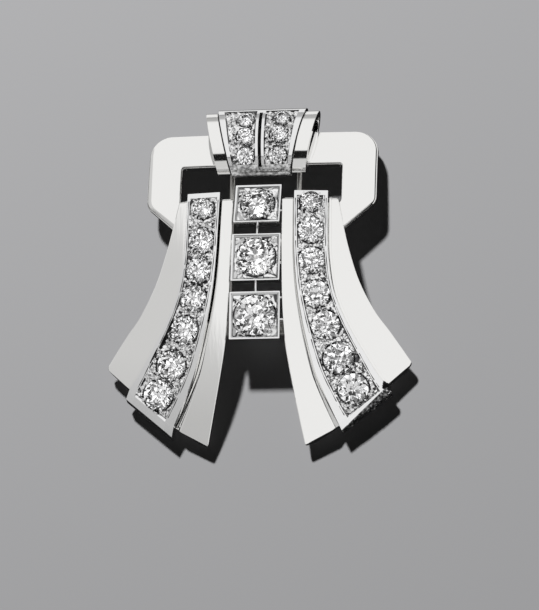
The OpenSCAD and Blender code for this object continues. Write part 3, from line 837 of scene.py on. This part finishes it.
def strip_field(column):
    """Surface of a strip's field, on the right, with flat places in millimetres for the relief."""
    s = np.linspace(0, field_end, 400)
    rim_a, rim_b = rim_edges(s)
    across = np.linspace(-0.005, 1.005, 56)[None, :, None]
    plan = rim_a[:, None] * (1 - across) + rim_b[:, None] * across
    surface = on_dome(plan, strip_rise - field_depth)
    normal = dome_normal(plan[..., 0], plan[..., 1])
    stones = np.concatenate([strip_middle(STRIP_STONES[:, column]), STRIP_STONES[:, 2:] / 2], 1)
    return surface, normal, plan[..., 0], plan[..., 1], stones


def flip(x):
    """Vectors or places with their first number turned over."""
    return x * np.array([-1] + [1] * (x.shape[-1] - 1))


for side, column, seed in (("right", 1, 21), ("left", 0, 22)):
    surface, normal, a, b, stones = strip_field(column)
    if side == "left":
        surface, normal, a, stones = flip(surface), flip(normal), -a, flip(stones)
    cut_field(f"strip_field_{side}", surface, normal, a, b, stones, seed, [f"strip_{side}"],
              strip_rise - field_depth - hidden_low - 0.05)


def rough_end():
    """Skin over the right strip's end, where solder and file marks have been left: a wedge of the
    slope behind the ridge, and the end's wall, with a shallow cut relief. The wedge starts at 0.97
    of the end's length at the inside, and 0.72 of it sooner at the outside, with an even change
    between. The wall stands out a little more the deeper it is."""
    flat, steep, columns, slope_start = 26, 10, 130, 0.29
    share = np.linspace(0.004, 0.996, columns)[None, :, None]
    start = 0.97 - 0.72 * share
    past = np.concatenate([start + (1 - start) * np.linspace(0, 1, flat)[:, None, None],
                           np.ones((steep, columns, 1))])
    down = np.concatenate([np.zeros(flat), np.linspace(0.08, 0.8, steep)])[:, None, None]
    inner, outer = tail_edge(float(last_row), 1), tail_edge(float(last_row), 2)
    a, b = inner + past * END_WAYS[1, 0], outer + past * END_WAYS[1, 1]
    way = unit(END_WAYS[1].sum(0))
    plan = a * (1 - share) + b * share + way * (0.03 + 0.15 * down)
    fall = right_fall * np.clip((past - slope_start) / (1 - slope_start), 0, 1)
    surface = on_dome(plan, (strip_rise + 0.02 - fall - down)[..., 0])
    upwards = dome_normal(plan[..., 0], plan[..., 1])
    normal = unit(np.where(down > 0, np.array((*way, 0.2)), upwards))
    across = np.linalg.norm(b - a, axis=-1) * share[..., 0]
    along = np.concatenate([np.linspace(0, 0.75, flat), np.linspace(0.83, 1.55, steep)])
    no_stone_near = np.array([(99.0, 99.0, 0.1)])
    height, _ = cut_relief(across, along[:, None] + 0 * across, no_stone_near, 77, 0.24)
    top, low = surface + 0.35 * normal * height[..., None], surface - 0.05 * normal
    return skin(np.concatenate([top, low[:, -1:], low[:, :1]], 1))


def solder_drops(count, radius, seed):
    """Drops of solder left round the outer corner of the right strip's end."""
    rng = np.random.default_rng(seed)
    outer_corner = np.array((14.85, -13.6))
    spots = outer_corner + rng.uniform((-0.55, -0.4), (0.6, 0.4), (count, 2))
    return joined([grain_shell(on_dome(spot, 0.38 + 0.12 * rng.random()), dome_normal(*spot),
                               radius * (1 + 0.5 * rng.random())) for spot in spots])


rough_platinum = mottled_metal("rough_platinum", 0.012, 0.3, 3600, 0.16, 0.3, 1.5, 1.0)
piece("strip_end_right", rough_end(), rough_platinum, ["strip_right"], sharp=14)
piece("solder_drops_dark", solder_drops(14, 0.19, 78), tarnish_and_painted_shade, ["strip_right"],
      sharp=60)
piece("solder_drops_bright", solder_drops(5, 0.1, 79), platinum, ["strip_right"],
      sharp=60)


def strip_grains(column, seed):
    """Grains of a strip, on the right: round each stone four large ones at the corners of its
    square, and four small ones between it and its neighbours."""
    rng = np.random.default_rng(seed)
    rows, width = STRIP_STONES[:, column], STRIP_STONES[:, 2]
    across = unit(tail_edge(rows, 2) - tail_edge(rows, 1))
    along = np.stack([across[:, 1], -across[:, 0]], 1)
    large = [(turn, 0.07, 0.19, 0.04) for turn in (46, 134, 226, 314)]
    small = [(turn, 0.02, 0.12, 0.03) for turn in (78, 102, 258, 282)]
    shells = []
    for middle, u, v, w in zip(strip_middle(rows), across, along, width):
        for turn, off, radius, spread in large + small:
            angle = np.radians(turn + rng.normal(0, 4))
            plan = middle + (w / 2 + off) * (np.cos(angle) * u + np.sin(angle) * v)
            place = on_dome(plan, strip_rise - field_depth + 0.06)
            shells.append(grain_shell(place, dome_normal(*plan), radius + spread * rng.random()))
    return joined(shells)


piece("strip_grains_right", strip_grains(1, 31), platinum, ["strip_right"],
      sharp=60)
piece("strip_grains_left", mirrored(strip_grains(0, 32)), platinum,
      ["strip_left"], sharp=60)

# ---- Square settings ----------------------------------------------------------------------------
# Three boxes of platinum sheet with thin raised walls and a sunk, cut field round one large
# diamond. Short wires join them, and small tabs of solder tie them to the right tail.
SQUARES = np.array([
    # y, z, width, length, lean, stone_width
    (7.90, 5.95, 5.42, 4.98, 12, 3.86),
    (1.24, 6.25, 5.72, 5.74, 2, 4.50),
    (-5.70, 5.90, 5.90, 5.60, -5, 4.74)])
# Widths of the rim, and of the rim with its inner slope
rim, wall = 0.15, 0.36


def leant(square, local):
    """Points given on a setting's face, turned by its lean and moved to its place."""
    y, z, _, _, lean, _ = square
    c, s = np.cos(np.radians(-lean)), np.sin(np.radians(-lean))
    return local @ np.array([(1, 0, 0), (0, c, -s), (0, s, c)]).T + (0, y, z)


def leant_normal(square):
    """Direction square to a setting's face: from a place on the face to that one above it."""
    return unit(leant(square, np.array((0, 0, 1.0))) - leant(square, np.zeros(3)))


def square_box(square):
    """A setting's skin: from its underside up the leaning walls, over the rim, down the inside and
    back under the walls, for it is open below. Each level is a rectangle with cut corners."""
    _, _, width, length, _, _ = square
    levels = []
    for inset, height, cut in ((0.25, -1.6, 0.1), (0.02, -0.45, 0.05), (0, 0, 0.05),
                               (rim, 0, 0.03), (wall, -0.17, 0.03), (wall + 0.03, -0.3, 0.03),
                               (wall + 0.2, -1.6, 0.03)):
        w, l = width / 2 - inset, length / 2 - inset
        corners = [(w, -l + cut), (w, l - cut), (w - cut, l), (-w + cut, l),
                   (-w, l - cut), (-w, -l + cut), (-w + cut, -l), (w - cut, -l)]
        levels.append([(*corner, height) for corner in corners])
    points, faces = skin(levels, closed=True)
    return leant(square, points), faces


def rod(start, end, radius, bow=0.0):
    """Round wire between two places, bowed upwards by a half wave of a sine."""
    start, end = np.asarray(start, float), np.asarray(end, float)
    way = unit(end - start)
    side = unit(np.cross(way, (0, 0, 1)))
    up = np.cross(side, way)
    turn = np.radians(np.arange(0, 360, 30))
    ring = radius * (np.cos(turn)[:, None] * side + np.sin(turn)[:, None] * up)
    steps = np.linspace(0, 1, 9)
    return skin([start + (end - start) * f + up * bow * np.sin(np.pi * f) + ring for f in steps])


def links():
    """The two link wires, and the solder tabs between the settings and the right tail."""
    overlap, depth = 0.3, 0.6
    shells = []
    for upper, lower in zip(SQUARES[:-1], SQUARES[1:]):
        start = (0, upper[0] - upper[3] / 2 + overlap, upper[1] - depth)
        end = (0, lower[0] + lower[3] / 2 - overlap, lower[1] - depth)
        shells.append(rod(start, end, 0.13, 0.1))
    for y, z, x_low, x_high in ((-6.1, 5.3, 2.75, 3.3), (-3.5, 5.45, 2.75, 3.2),
                                (7.05, 5.6, 2.6, 3.0)):
        shells.append(rod((x_low, y, z), (x_high, y + 0.02, z - 0.05), 0.12))
    return shells


piece("square_boxes", joined([square_box(square) for square in SQUARES]), platinum,
      ["square_line"], bevel=0.035)
piece("link_wires", joined(links()), platinum, ["square_line"], sharp=50)


def inner_slope(square):
    """Slim frame on a setting's inside, from just under the rim down to the field. The wheel
    doesn't reach it, so it is rougher, and its colour is darker as painted shade."""
    _, _, width, length, _, _ = square
    levels = []
    for inset, height in ((rim + 0.02, -0.02), (wall + 0.01, -0.165),
                          (wall + 0.05, -0.3), (rim + 0.06, -0.2)):
        w, l = width / 2 - inset, length / 2 - inset
        levels.append([(w, -l, height), (w, l, height), (-w, l, height), (-w, -l, height)])
    points, faces = skin(levels, closed=True)
    return leant(square, points), faces


# The inner slopes' darker base colour is painted shade; their roughness is their own.
shaded_platinum = polished_metal("shaded_platinum", (0.7, 0.7, 0.7), 0.12, 0.3, 2.0, 1.0)
piece("square_slopes", joined([inner_slope(square) for square in SQUARES]), shaded_platinum,
      ["square_line"])


def round_hole_grid(half_w, half_l, hole):
    """Places on rays from a round hole to the four sides of a rectangle, which they reach at even
    steps: each place is the hole's edge and the side's place mixed in even shares."""
    steps = np.linspace(-1, 1, 45)[:-1]
    w, l = half_w * np.ones(len(steps)), half_l * np.ones(len(steps))
    side = np.concatenate([np.stack(pair, 1) for pair in (
        (steps * w, -l), (w, steps * l), (-steps * w, l), (-w, -steps * l))])
    share = np.linspace(0, 1, 40)[None, :, None]
    grid = hole * unit(side)[:, None] * (1 - share) + side[:, None] * share
    return grid[..., 0], grid[..., 1]


for number, square in enumerate(SQUARES, 1):
    _, _, width, length, _, stone_width = square
    a, b = round_hole_grid(width / 2 - wall - 0.01, length / 2 - wall - 0.01, stone_width / 2 - 0.6)
    flat = np.stack([a, b, np.full_like(a, -field_depth)], -1)
    cut_field(f"square_field_{number}", leant(square, flat),
              np.broadcast_to(leant_normal(square), flat.shape), a, b,
              np.array([(0, 0, stone_width / 2)]), 40 + number, ["square_line"], 0.75, ring=True,
              cell=0.5)


def corner_grains(square):
    """A large grain and two small ones in each corner of a setting, kept 0.2 from its walls."""
    _, _, width, length, _, stone_width = square
    reach = stone_width / 2 + 0.12
    limit = np.array((width, length)) / 2 - wall - 0.2
    shells = []
    for corner in ((-1, -1), (-1, 1), (1, -1), (1, 1)):
        for turn, radius in ((45, 0.24), (28, 0.15), (62, 0.15)):
            way = np.array((np.cos(np.radians(turn)), np.sin(np.radians(turn))))
            spot = np.append(corner * np.minimum(reach * way, limit), -0.14)
            shells.append(grain_shell(leant(square, spot), leant_normal(square), radius))
    return joined(shells)


piece("square_grains", joined([corner_grains(square) for square in SQUARES]), platinum,
      ["square_line"], sharp=60)

# ---- Diamonds -----------------------------------------------------------------------------------
# Old cut stones, ground by eye: a small table, a high crown, and an open culet that shows as a
# dot in the middle. Each is turned its own way, and no two are quite alike. They sit over the
# cones of the cut fields, under the grains.


def diamond_material():
    """Clear diamond. Its colour drifts a little through the stone, as in old stones."""
    material = bpy.data.materials.new("diamond")
    material.use_nodes = True
    shader = material.node_tree.nodes["Principled BSDF"]
    shader.inputs["Roughness"].default_value = 0.0
    shader.inputs["IOR"].default_value = 2.417
    shader.inputs["Transmission Weight"].default_value = 1.0
    colour_by(material, spots(material, 300, 2), (0, (0.97, 0.97, 0.98)), (1, (1, 1, 1)))
    return material


diamond = diamond_material()


def cut_stone(width, seed):
    """Stone with its girdle at z = 0: rings of eight and sixteen corners, from the table through
    the stars and the girdle to the lower halves and the culet. A middle ring's height puts its
    corners in the planes of the eight main facets: the whole height, times the radius that is
    left to the girdle, over the facet's whole run."""
    rng = np.random.default_rng(seed)
    r = width / 2
    crown, depth = width * rng.uniform(0.15, 0.17), width * rng.uniform(0.40, 0.42)
    table, culet = r * rng.uniform(0.48, 0.56), r * rng.uniform(0.09, 0.13)
    star, lower = r * 0.79, r * rng.uniform(0.30, 0.42)
    to_facet = np.cos(np.radians(22.5))
    girdle = 0.02 * width
    turn = rng.uniform(0, 45)

    def ring(count, radius, z, shift=0.0):
        angle = np.radians(np.arange(count) * 360 / count + shift + turn)
        return np.stack([radius * np.cos(angle), radius * np.sin(angle), np.full(count, z)], 1)

    points = np.concatenate([
        ring(8, table, crown), ring(8, star, crown * (r - star * to_facet) / (r - table), 22.5),
        ring(16, r, 0), ring(16, r, -girdle),
        ring(8, lower, -girdle - (depth - girdle) * (r - lower * to_facet) / (r - culet), 22.5),
        ring(8, culet, -depth)])
    faces = [list(range(8))]
    for i in range(8):
        j, g = (i + 1) % 8, 16 + 2 * i
        h, back = 16 + (2 * i + 2) % 16, 8 + (i - 1) % 8
        faces += [[i, 8 + i, j], [i, back, g, 8 + i], [8 + i, g, g + 1], [8 + i, g + 1, h],
                  [g, g + 16, g + 17, g + 1], [g + 1, g + 17, h + 16, h],
                  [g + 16, 48 + i, g + 17], [g + 17, 48 + i, h + 16],
                  [g + 16, 48 + (i - 1) % 8, 56 + i, 48 + i], [48 + i, 56 + i, 56 + j]]
    faces.append([56 + i for i in range(8)][::-1])
    return points, faces


def set_stone(name, width, seed, place, normal):
    """A stone in its seat: its girdle at the place, and its axis along the normal."""
    points, faces = cut_stone(width, seed)
    side = unit(np.cross((0, 1, 0), normal))
    axes = np.stack([side, np.cross(normal, side), normal])
    piece(name, (points @ axes + place, faces), diamond,
          [name.replace("diamond", "stone")], sharp=1)


for side, sign, column in (("left", -1, 0), ("right", 1, 1)):
    for i, (angle, x, width) in enumerate(scroll_places(sign), 1):
        set_stone(f"scroll_diamond_{side}_{i}", width, 100 + 10 * column + i,
                  *roll_frame(angle, 0.06, sign * x))
    for i, row in enumerate(STRIP_STONES, 1):
        middle = strip_middle(row[column])
        place, normal = on_dome(middle, strip_rise - 0.08), dome_normal(*middle)
        set_stone(f"strip_diamond_{side}_{i}", row[2], 200 + 20 * column + i,
                  place * (sign, 1, 1), normal * (sign, 1, 1))
for i, square in enumerate(SQUARES, 1):
    set_stone(f"square_diamond_{i}", square[5], 300 + i,
              leant(square, np.array((0, 0, -0.08))), leant_normal(square))

# ---- Clip ---------------------------------------------------------------------------------------
# Hidden behind the brooch, a plain lever of white gold wire with a toothed end closes on the
# cloth, and a block carries it under the top bar. Its colour is a darker gray as painted shade,
# for it lies in the brooch's shadow.
clip_gold_painted_shade = polished_metal("clip_gold_painted_shade", (0.5, 0.49, 0.47), 0.3, 0.3, 1.5, 1.0)


def tapered(levels, x0, x1, y0, y1):
    """Four sided body between two sides in x and in y, drawn in by each level's inset."""
    return skin([[(x0 + inset, y0 + inset, z), (x1 - inset, y0 + inset, z),
                  (x1 - inset, y1 - inset, z), (x0 + inset, y1 - inset, z)] for z, inset in levels])


def clip_shells():
    """The lever's two rails, its toothed end and its hinge end, the block and the two teeth."""
    turn = np.radians(np.arange(0, 360, 22.5))
    section = np.stack([0.3 * np.cos(turn), 0 * turn, 0.4 + 0.4 * np.sin(turn)], 1)
    rails = [skin([section + (x, y, 0) for y in np.linspace(-6.4, 16.1, 16)]) for x in (-4.0, 4.0)]
    flat = ((0.01, 0), (0.79, 0))
    toothed_end = tapered(flat, -4.28, 4.28, -6.48, -4.9)
    hinge_end = tapered(flat, -4.28, 4.28, 13.8, 16.18)
    block_top = frame_face(0, 16.2) - frame_thickness - 0.06
    carrier = tapered(((0.5, 0), (block_top, 0)), -2.15, 2.15, 13.82, 16.16)
    teeth = [tapered(((0.7, 0), (1.6, 0.1), (2.3, 0.32)), x - 0.4, x + 0.4, -6.1, -5.3)
             for x in (-2.2, 2.2)]
    return rails + [toothed_end, hinge_end, carrier] + teeth


piece("clip", joined(clip_shells()), clip_gold_painted_shade, ["clip_fitting"], bevel=0.12)

# ---- Floor and studio light ---------------------------------------------------------------------
# A plain pale floor, and one small lamp at the upper left that throws the shadow. A flag over the
# brooch, which no camera sees, keeps light off the floor in the windows. The rest of the light is
# the room: large white cards stand where the polished faces look, so that they shine evenly.


def stage_sheet(name, corners, material):
    """Flat sheet through the corners, in metres, that belongs to the studio."""
    mesh = bpy.data.meshes.new(name)
    mesh.from_pydata(corners, [], [list(range(len(corners)))])
    mesh.materials.append(material)
    sheet = bpy.data.objects.new(name, mesh)
    bpy.context.collection.objects.link(sheet)
    return sheet


floor_material = bpy.data.materials.new("floor")
floor_material.use_nodes = True
floor_shader = floor_material.node_tree.nodes["Principled BSDF"]
floor_shader.inputs["Base Color"].default_value = (0.50, 0.50, 0.51, 1)
floor_shader.inputs["Roughness"].default_value = 0.9
floor_shader.inputs["Specular IOR Level"].default_value = 0.0
floor = stage_sheet("floor", [(-2, -2, 0), (2, -2, 0), (2, 2, 0), (-2, 2, 0)], floor_material)
floor.visible_glossy = False

flag_corners = ((-10.3, -4.5), (1.2, -4.5), (1.2, 11.6), (8.5, 11.6), (8.5, 16.4), (-10.3, 16.4))
flag = stage_sheet("flag", [(x * MM, y * MM, 8 * MM) for x, y in flag_corners], floor_material)
flag.visible_camera = flag.visible_diffuse = False
flag.visible_glossy = flag.visible_transmission = False

key_place, key_size, key_radiance = (-0.145, 0.4, 0.5), 0.05, 540
key_light = bpy.data.lights.new("key", "AREA")
key_light.shape = "RECTANGLE"
key_light.size = key_light.size_y = key_size
key_light.energy = key_radiance * math.pi * key_size * key_size
key = bpy.data.objects.new("key", key_light)
key.location = key_place
key.rotation_euler = (-Vector(key_place)).to_track_quat("-Z", "Y").to_euler()
key.visible_glossy = False
bpy.context.collection.objects.link(key)


def studio_world():
    """The room as a function of direction x, y, z. Over the horizon it goes by the slopes p to the
    right and q to the head, x and y over z: gray cloth, and a white card where p plus half of q
    is over about -0.35. Both dim far out to the sides and to the head, and stop in a dark gap
    where q is under -0.44. Under the horizon, steep walls see pale cloth at the foot, the left
    and the head, and glints at the right, and straight down it is dark. The metal mirrors the
    room, less of it where its polish is perfect and after a diffuse bounce. The stones mirror it
    in bright and dark patches, darker round one fixed direction, and the floor gets an even
    spill. What goes straight to the camera is a plain gray."""
    world = bpy.data.worlds.new("studio")
    world.use_nodes = True
    nodes, link = world.node_tree.nodes, world.node_tree.links.new
    math_node = math_in(world.node_tree)

    def product(*factors):
        result = factors[0]
        for factor in factors[1:]:
            result = math_node("MULTIPLY", result, factor)
        return result

    def brightest(*values):
        result = values[0]
        for value in values[1:]:
            result = math_node("MAXIMUM", result, value)
        return result

    def step(value, low, high, start=0.0, end=1.0):
        node = nodes.new("ShaderNodeMapRange")
        node.interpolation_type = "SMOOTHSTEP"
        link(value, node.inputs["Value"])
        for name, number in (("From Min", low), ("From Max", high),
                             ("To Min", start), ("To Max", end)):
            node.inputs[name].default_value = number
        return node.outputs["Result"]

    direction = nodes.new("ShaderNodeTexCoord").outputs["Generated"]
    split = nodes.new("ShaderNodeSeparateXYZ")
    link(direction, split.inputs[0])
    x, y, z = split.outputs

    height = brightest(z, 0.02)
    p, q = math_node("DIVIDE", x, height), math_node("DIVIDE", y, height)
    cloth = step(q, -0.35, 0.0, 0.50, 0.62)
    card_edge = step(math_node("MULTIPLY_ADD", brightest(q, -0.2), 0.5, p), -0.41, -0.29)
    card = math_node("MULTIPLY_ADD", math_node("SUBTRACT", 0.88, cloth), card_edge, cloth)
    above = product(card, step(p, 1.2, 2.0, 1.0, 0.45), step(p, -2.5, -1.2, 0.6, 1.0),
                    step(q, 1.7, 2.8, 1.0, 0.5), step(q, -0.46, -0.42), step(z, 0.0, 0.04))

    fall = math_node("DIVIDE", y, brightest(math_node("ABSOLUTE", z), 0.02))
    foot_cloth = product(step(fall, -0.86, -0.78, 0.62, 0.0), step(x, 0.38, 0.5, 1.0, 0.0))
    glint = product(step(x, 0.6, 0.63), step(x, 0.7, 0.73, 0.9, 0.0), step(y, -0.5, -0.4, 1.0, 0.0))
    right_glint = step(x, 0.86, 0.9, 0.0, 0.8)
    foot = product(brightest(foot_cloth, glint, right_glint), step(z, -0.75, -0.5))
    head_cloth = brightest(step(fall, 0.6, 1.2, 0.0, 0.85), step(x, -0.5, -0.3, 0.28, 0.0))
    head = product(head_cloth, step(z, -0.8, -0.6), step(z, 0.0, 0.04, 1.0, 0.0))
    room = math_node("ADD", brightest(above, brightest(foot, head)), 0.012)

    towards = math_node("MULTIPLY_ADD", x, 0.159, math_node("MULTIPLY", y, -0.294))
    towards = math_node("ADD", towards, math_node("MULTIPLY", z, 0.9425))
    clutter = nodes.new("ShaderNodeTexNoise")
    clutter.inputs["Scale"].default_value = 2.0
    clutter.inputs["Detail"].default_value = 1.0
    link(direction, clutter.inputs["Vector"])
    patches = product(step(clutter.outputs["Fac"], 0.46, 0.48, 0.02, 1.0),
                      step(towards, 0.92, 0.95, 1.0, 0.5))

    rays = nodes.new("ShaderNodeLightPath").outputs
    stones = product(math_node("MULTIPLY_ADD", product(room, patches), 2.0, 0.005),
                     rays["Is Transmission Ray"])
    bounced = math_node("MINIMUM", rays["Diffuse Depth"], 1.0)
    metal = product(room, rays["Is Glossy Ray"],
                    math_node("MULTIPLY_ADD", rays["Is Singular Ray"], -0.65, 1.0),
                    math_node("MULTIPLY_ADD", bounced, -0.8, 1.0))
    spill = product(rays["Is Diffuse Ray"], 0.014)
    strength = math_node("ADD", brightest(stones, metal), spill)
    strength = math_node("MULTIPLY_ADD", rays["Is Camera Ray"], 0.5, strength)
    link(strength, nodes["Background"].inputs["Strength"])
    nodes["Background"].inputs["Color"].default_value = (1, 1, 1, 1)
    return world


bpy.context.scene.world = studio_world()
bpy.context.scene.view_settings.view_transform = "Standard"
